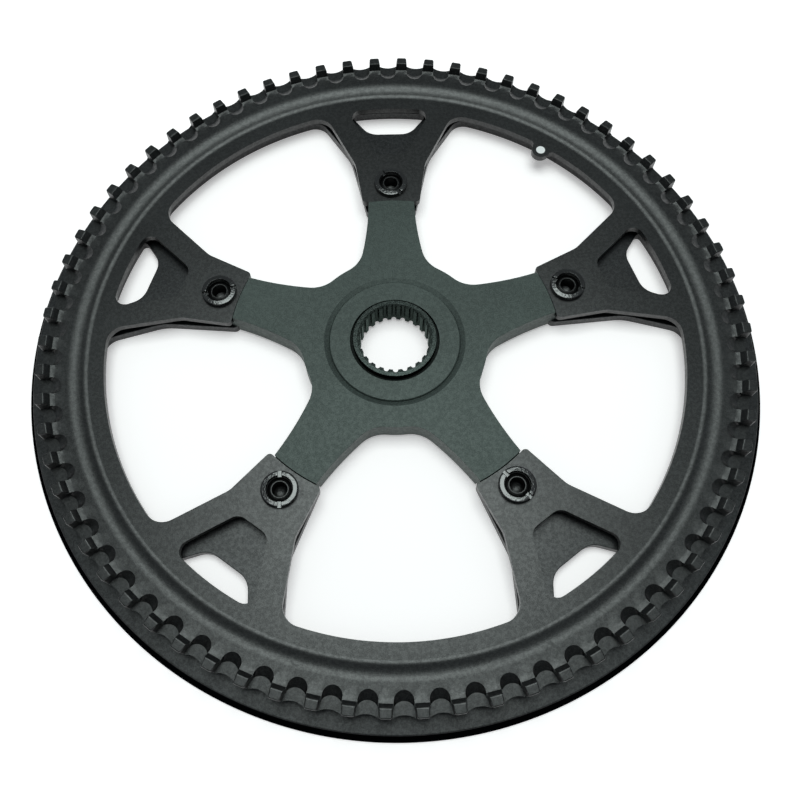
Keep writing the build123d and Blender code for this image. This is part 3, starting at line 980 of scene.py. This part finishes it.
class SPROCKET_OT_bolts(bpy.types.Operator):
    """Model one bolt and copy it to each arm"""

    bl_idname = "sprocket.bolts"
    bl_label = "Bolts"

    def execute(self, context):
        s = context.scene.sprocket_fasteners
        seat = bolt_low.z + s.head_height
        top = bolt_high.z
        rim = s.nose_edge
        section = [
            (0, bolt_low.z),
            (s.head, bolt_low.z),
            (s.head, seat),
            (s.bolt, seat),
            (s.bolt, top - s.nose_drop),
            (s.nose, top - rim),
            (s.nose - rim, top),
            (s.nose_hole + rim, top),
            (s.nose_hole, top - rim),
            (s.nose_hole, top - s.nose_hole_depth),
            (0, top - s.nose_hole_depth - s.nose_hole / 2),
        ]
        bolt = turned([Vector(p) for p in section], BOLT_STEPS)
        socket = bar(s.key / sqrt(3), KEY_SIDES, bolt_low.z - PAST, bolt_low.z + s.key_depth)
        combined(bolt, socket, "DIFFERENCE")
        broken_edges(bolt, s.bolt_edge)
        bolts = at_bolts(bolt, s.bolt_radius)
        base = context.scene.sprocket_colours.bolt
        material = blackened("bolt_black", base, gloss=0.5, roughness=0.3)
        return finished(bolts, "through_bolts", "ring_bolts", material)


# Finishes

BORDER = 0.1 * MM  # width of a soft border between two finishes
TONE = (0.36, 0.64)  # noise between which a finish goes from its darkest to its lightest
FLECK = (0.42, 0.62)  # noise between which bright flecks come up
MOTTLE = (0.4, 0.62)  # noise between which coarser mottling comes up
DROP_CELLS = 105  # places for a dried drop, to the metre
DROP_SHARE = 0.28  # share of those places that have one
DROP_BEND = 0.0035  # how far noise bends a drop's outline
DROP_RIPPLE = 260  # scale of that noise
DROP_RIM = ((0.12, 0.16), (0.17, 0.22))  # inner and outer side of a drop's rim, in cells


class Socket:
    """A shader socket that takes part in Python expressions."""

    def __init__(self, tree, socket=None):
        self.tree = tree
        self.socket = socket

    def node(self, kind, settings=None, links=None, output=0):
        """Add a node: its settings are made first, then its sockets take values or links."""
        made = self.tree.nodes.new(kind)
        for name, value in (settings or {}).items():
            setattr(made, name, value)
        for name, value in (links or {}).items():
            if isinstance(value, Socket):
                self.tree.links.new(value.socket, made.inputs[name])
            else:
                made.inputs[name].default_value = value
        return Socket(self.tree, made.outputs[output]) if made.outputs else None

    def math(self, operation, first, second):
        """A Math node on two values."""
        return self.node("ShaderNodeMath", {"operation": operation}, {0: first, 1: second})

    def __add__(self, other):
        return self.math("ADD", self, other)

    def __radd__(self, other):
        return self.math("ADD", other, self)

    def __sub__(self, other):
        return self.math("SUBTRACT", self, other)

    def __rsub__(self, other):
        return self.math("SUBTRACT", other, self)

    def __mul__(self, other):
        return self.math("MULTIPLY", self, other)

    def __rmul__(self, other):
        return self.math("MULTIPLY", other, self)

    def __gt__(self, other):
        return self.math("GREATER_THAN", self, other)

    def blend(self, first, second):
        """A colour between two others, by this value. A Mix node's colours are 6 and 7."""
        colours = {0: self, 6: first, 7: second}
        return self.node("ShaderNodeMix", {"data_type": "RGBA"}, colours, 2)

    def fade(self, low, high):
        """0 below one value, 1 above another, and smooth between."""
        limits = {"Value": self, "From Min": low, "From Max": high}
        return self.node("ShaderNodeMapRange", {"interpolation_type": "SMOOTHSTEP"}, limits)


def new_material(name):
    """An empty material and a socket on its node tree."""
    material = bpy.data.materials.new(name)
    material.use_nodes = True
    material.node_tree.nodes.clear()
    return material, Socket(material.node_tree)


def surfaced(material, start, links, painted_shade_mask=None, dark=None):
    """Finish a material with a shader, with a matt dark shader mixed over part of it as painted
    shade, and return it.
    """
    shader = start.node("ShaderNodeBsdfPrincipled", {}, links)
    if painted_shade_mask:
        painted_shade_shader = start.node("ShaderNodeBsdfDiffuse", {}, {"Color": dark})
        shader = start.node("ShaderNodeMixShader", {}, {0: painted_shade_mask, 1: shader, 2: painted_shade_shader})
    start.node("ShaderNodeOutputMaterial", {}, {"Surface": shader})
    return material


def place_on_piece(start):
    """The place on the piece, in the frame that all pieces share."""
    return start.node("ShaderNodeTexCoord", output="Object")


def noise(start, place, scale, detail):
    """Noise of that many cells to the metre."""
    return start.node("ShaderNodeTexNoise", {}, {"Vector": place, "Scale": scale, "Detail": detail})


def bumped(start, height, strength, depth):
    """A normal for fine relief."""
    relief = {"Strength": strength, "Distance": depth, "Height": height}
    return start.node("ShaderNodeBump", {}, relief)


def shade(base, factor):
    """A colour made darker or lighter, for a colour socket."""
    return tuple(factor * part for part in base) + (1,)


def in_plan(start, place):
    """The place without its height."""
    return start.node("ShaderNodeVectorMath", {"operation": "MULTIPLY"}, {0: place, 1: (1, 1, 0)})


def from_bore(start, place):
    """Distance from the bore's axis."""
    flat = in_plan(start, place)
    return start.node("ShaderNodeVectorMath", {"operation": "LENGTH"}, {0: flat}, "Value")


def filled(start, place, centre, radius):
    """Mask of the round filling on the tabs' face."""
    ends = {0: in_plan(start, place), 1: (*centre, 0)}
    off = start.node("ShaderNodeVectorMath", {"operation": "DISTANCE"}, ends, "Value")
    height = start.node("ShaderNodeSeparateXYZ", {}, {"Vector": place}, "Z")
    return (1 - off.fade(radius - BORDER, radius)) * (height > TAB_TOP - BORDER)


def dried_drops(start, place):
    """Thin rims that a few dried drops left, as a mask."""
    ripple = {"Vector": place, "Scale": DROP_RIPPLE, "Detail": 1.0}
    wander = start.node("ShaderNodeTexNoise", {}, ripple, "Color")
    ends = {0: DROP_BEND, 4: place, 5: wander}
    bent = start.node("ShaderNodeMix", {"data_type": "VECTOR"}, ends, 1)
    cells = {"Vector": bent, "Scale": DROP_CELLS, "Randomness": 1.0}
    gap = start.node("ShaderNodeTexVoronoi", {"feature": "F1"}, cells)
    pick = start.node("ShaderNodeTexVoronoi", {"feature": "F1"}, cells, "Color")
    few = start.node("ShaderNodeSeparateColor", {}, {"Color": pick}) > 1 - DROP_SHARE
    inner, outer = DROP_RIM
    return gap.fade(*inner) * (1 - gap.fade(*outer)) * few


def anodised(name, base, gloss, satin, edge=None, filling=None):
    """Satin black anodised metal: fine grain, faint clouds and dried drops.

    Outside the edge radius a matt near-black is mixed over it as painted shade, so that the sloping
    edge shows dark instead of reflecting the floor. A filling is its centre, radius and colour.
    """
    material, start = new_material(name)
    place = place_on_piece(start)
    grain = noise(start, place, scale=2600, detail=3)
    mottle = noise(start, place, scale=900, detail=4)
    clouds = noise(start, place, scale=26, detail=4)
    drops = dried_drops(start, place)
    tone = 0.55 * grain + 0.45 * clouds
    links = {
        "Base Color": tone.fade(*TONE).blend(shade(base, 0.2), shade(base, 2.2)),
        "Roughness": satin + 0.16 * grain + 0.08 * clouds + 0.1 * drops,
        "Specular IOR Level": gloss,
        "Coat Weight": 0.24 * grain.fade(*FLECK) + 0.3 * mottle.fade(*MOTTLE),
        "Coat Roughness": 0.34,
        "Normal": bumped(start, grain, strength=0.6, depth=0.05 * MM),
    }
    if filling:
        centre, radius, white = filling
        mask = filled(start, place, centre, radius)
        links["Base Color"] = mask.blend(links["Base Color"], (*white, 1))
    if edge is None:
        return surfaced(material, start, links)
    # painted shade: outside the edge radius a matt dark shader stands in for the sloping edge's
    # reflection
    outside = from_bore(start, place).fade(edge, edge + 2 * BORDER)
    return surfaced(material, start, links, outside, shade(base, 0.5))


def blasted(name, base, boss, moat, bore):
    """Blasted and anodised grey with an even, slightly coarser grain.

    The boss is darker and glossier, and the bore and the moat get painted shade: a matt near-black
    mixed over them where shade falls in those hollows.
    """
    material, start = new_material(name)
    place = place_on_piece(start)
    grain = noise(start, place, scale=2400, detail=3)
    mottle = noise(start, place, scale=800, detail=4)
    clouds = noise(start, place, scale=20, detail=3)
    tone = 0.6 * grain + 0.4 * clouds
    reach = from_bore(start, place)
    outside = reach.fade(boss - BORDER, boss + BORDER)
    # painted shade: a matt near-black mask over the splined bore and the moat round the boss
    painted_shade_in_bore = 0.6 * (1 - reach.fade(bore, bore + BORDER))
    past_boss = reach.fade(boss - 1.2 * BORDER, boss - 0.2 * BORDER)
    painted_shade_in_moat = 0.85 * past_boss * (1 - reach.fade(moat, moat + BORDER / 2))
    tint = (0.85, 1.0, 0.94, 1)
    links = {
        "Base Color": tone.fade(*TONE).blend(shade(base, 0.5), shade(base, 1.5)),
        "Metallic": 1 - outside,
        "Roughness": 0.2 + 0.16 * grain + 0.3 * outside,
        "Specular IOR Level": 0.6,
        "Specular Tint": tint,
        "Coat Weight": 0.24 * grain.fade(*FLECK) + 0.26 * mottle.fade(*MOTTLE),
        "Coat Roughness": 0.45,
        "Coat Tint": tint,
        "Normal": bumped(start, grain, strength=0.5, depth=0.05 * MM),
    }
    return surfaced(material, start, links, painted_shade_in_bore + painted_shade_in_moat, shade(base, 0.1))


def blackened(name, base, gloss, roughness):
    """Blackened steel with faint smudges and fine pits."""
    material, start = new_material(name)
    place = place_on_piece(start)
    smudge = noise(start, place, scale=320, detail=3)
    pits = noise(start, place, scale=1400, detail=2)
    links = {
        "Base Color": smudge.blend(shade(base, 0.7), shade(base, 1.5)),
        "Roughness": roughness + 0.12 * smudge,
        "Specular IOR Level": gloss,
        "Normal": bumped(start, pits, strength=0.8, depth=0.1 * MM),
    }
    return surfaced(material, start, links)


# Stage

# the floor's glow is painted shade under the part: weaker inside the first radius, full outside the
# second
FIELD = (90 * MM, 250 * MM)  # radii between which the floor's glow rises
OVERHEAD = (0.35, 0.95)  # heights in the view between which the sky grows light
WALL_TOPS = (0.35, 0.75)  # heights in the view between which the walls end
BEHIND = (-0.5, 0.1)  # from the dark front round to the pale walls
WHITE = (1, 1, 1, 1)
BLACK = (0, 0, 0, 1)


def pale_floor(s, base):
    """Floor that shows white to the eye and in reflections, and keeps the part's shadow. Its glow
    is weaker under the part, as painted shade there, and rises to white further out.
    """
    material, start = new_material("pale_floor")
    seen, reflected, through = (
        start.node("ShaderNodeLightPath", output=f"Is {ray} Ray")
        for ray in ("Camera", "Glossy", "Transmission")
    )
    # painted shade on the floor: the glow is weaker under the part and rises to white outside it
    field = from_bore(start, place_on_piece(start)).fade(*FIELD)
    glow = (seen + reflected + through) * (s.floor_glow + s.field_glow * field)
    links = {
        "Base Color": (*base, 1),
        "Roughness": 0.9,
        "Specular IOR Level": 0.0,
        "Emission Color": glow.blend(BLACK, WHITE),
        "Emission Strength": 1.0,
    }
    return surfaced(material, start, links)


def room(s):
    """A room that is light overhead and pale behind the part. It shows plain white to the eye."""
    world = bpy.data.worlds.new("room")
    world.use_nodes = True
    world.node_tree.nodes.clear()
    start = Socket(world.node_tree)
    way = start.node("ShaderNodeTexCoord", output="Generated")
    height = start.node("ShaderNodeSeparateXYZ", {}, {"Vector": way}, "Z")
    depth = start.node("ShaderNodeSeparateXYZ", {}, {"Vector": way}, "Y")
    overhead = s.sky_glow * height.fade(*OVERHEAD)
    walls = s.back_glow * depth.fade(*BEHIND) * (1 - height.fade(*WALL_TOPS))
    glow = {"Color": (*s.sky_tint, 1), "Strength": s.room_glow + overhead + walls}
    light = start.node("ShaderNodeBackground", {}, glow)
    backdrop = start.node("ShaderNodeBackground", {}, {"Color": WHITE, "Strength": 1.0})
    seen = start.node("ShaderNodeLightPath", output="Is Camera Ray")
    shown = start.node("ShaderNodeMixShader", {}, {0: seen, 1: light, 2: backdrop})
    start.node("ShaderNodeOutputWorld", {}, {"Surface": shown})
    return world


def add_camera(s):
    """Camera at the photograph's place, for a square picture."""
    back = Vector((0, -cos(s.elevation), sin(s.elevation)))
    side = Vector((1, 0, 0))
    up = back.cross(side)
    right = cos(s.roll) * side + sin(s.roll) * up
    upright = cos(s.roll) * up - sin(s.roll) * side
    axes = Matrix.Rotation(s.azimuth, 3, "Z") @ Matrix((right, upright, back)).transposed()
    place = Vector(s.target) + axes @ Vector((0, 0, s.distance))
    bpy.ops.object.camera_add()
    camera = bpy.context.object
    camera.matrix_world = Matrix.Translation(place) @ axes.to_4x4()
    camera.data.sensor_fit = "HORIZONTAL"
    camera.data.lens = s.focal * camera.data.sensor_width
    camera.data.shift_x, camera.data.shift_y = s.shift
    camera.data.clip_start = s.clip
    bpy.context.scene.camera = camera


class SPROCKET_OT_stage(bpy.types.Operator):
    """Set up the floor, the lamp, the room and the camera"""

    bl_idname = "sprocket.stage"
    bl_label = "Stage"

    def execute(self, context):
        s = context.scene.sprocket_stage
        scene = context.scene
        scene.view_settings.view_transform = "Standard"
        bpy.ops.mesh.primitive_plane_add(size=s.floor, location=(0, 0, cad_low.z))
        floor = context.object
        floor.name = "floor"
        floor.data.materials.append(pale_floor(s, scene.sprocket_colours.floor))
        bpy.ops.object.light_add(type="AREA", location=s.lamp_place)
        lamp = context.object.data
        lamp.shape = "RECTANGLE"
        lamp.size, lamp.size_y = s.lamp_size
        lamp.energy = s.lamp_glow * pi * lamp.size * lamp.size_y
        lamp.color = s.lamp_tint
        scene.world = room(s)
        add_camera(s)
        return {"FINISHED"}


class SPROCKET_PT_parts(bpy.types.Panel):
    """Pieces of the sprocket and their sizes"""

    bl_label = "Sprocket"
    bl_space_type = "VIEW_3D"
    bl_region_type = "UI"
    bl_category = "Sprocket"

    def draw(self, context):
        for operator in OPERATORS:
            self.layout.operator(operator.bl_idname)
        for name, group in GROUPS.items():
            box = self.layout.box()
            box.label(text=group.__doc__)
            for field in group.__annotations__:
                box.prop(getattr(context.scene, name), field)


GROUPS = {
    "sprocket_rim": RimSizes,
    "sprocket_tabs": TabSizes,
    "sprocket_guard": GuardSizes,
    "sprocket_spider": SpiderSizes,
    "sprocket_fasteners": FastenerSizes,
    "sprocket_colours": FinishColours,
    "sprocket_stage": StageSizes,
}
OPERATORS = (
    SPROCKET_OT_ring,
    SPROCKET_OT_guard,
    SPROCKET_OT_spider,
    SPROCKET_OT_nuts,
    SPROCKET_OT_bolts,
    SPROCKET_OT_stage,
)


def register():
    for group in GROUPS.values():
        bpy.utils.register_class(group)
    for name, group in GROUPS.items():
        setattr(bpy.types.Scene, name, bpy.props.PointerProperty(type=group))
    for item in (*OPERATORS, SPROCKET_PT_parts):
        bpy.utils.register_class(item)


def unregister():
    for item in (SPROCKET_PT_parts, *reversed(OPERATORS)):
        bpy.utils.unregister_class(item)
    for name, group in GROUPS.items():
        delattr(bpy.types.Scene, name)
        bpy.utils.unregister_class(group)


def main():
    register()
    bpy.ops.object.select_all(action="DESELECT")
    bpy.ops.sprocket.ring()
    bpy.ops.sprocket.guard()
    bpy.ops.sprocket.spider()
    bpy.ops.sprocket.nuts()
    bpy.ops.sprocket.bolts()
    bpy.ops.sprocket.stage()


if __name__ == "__main__":
    main()
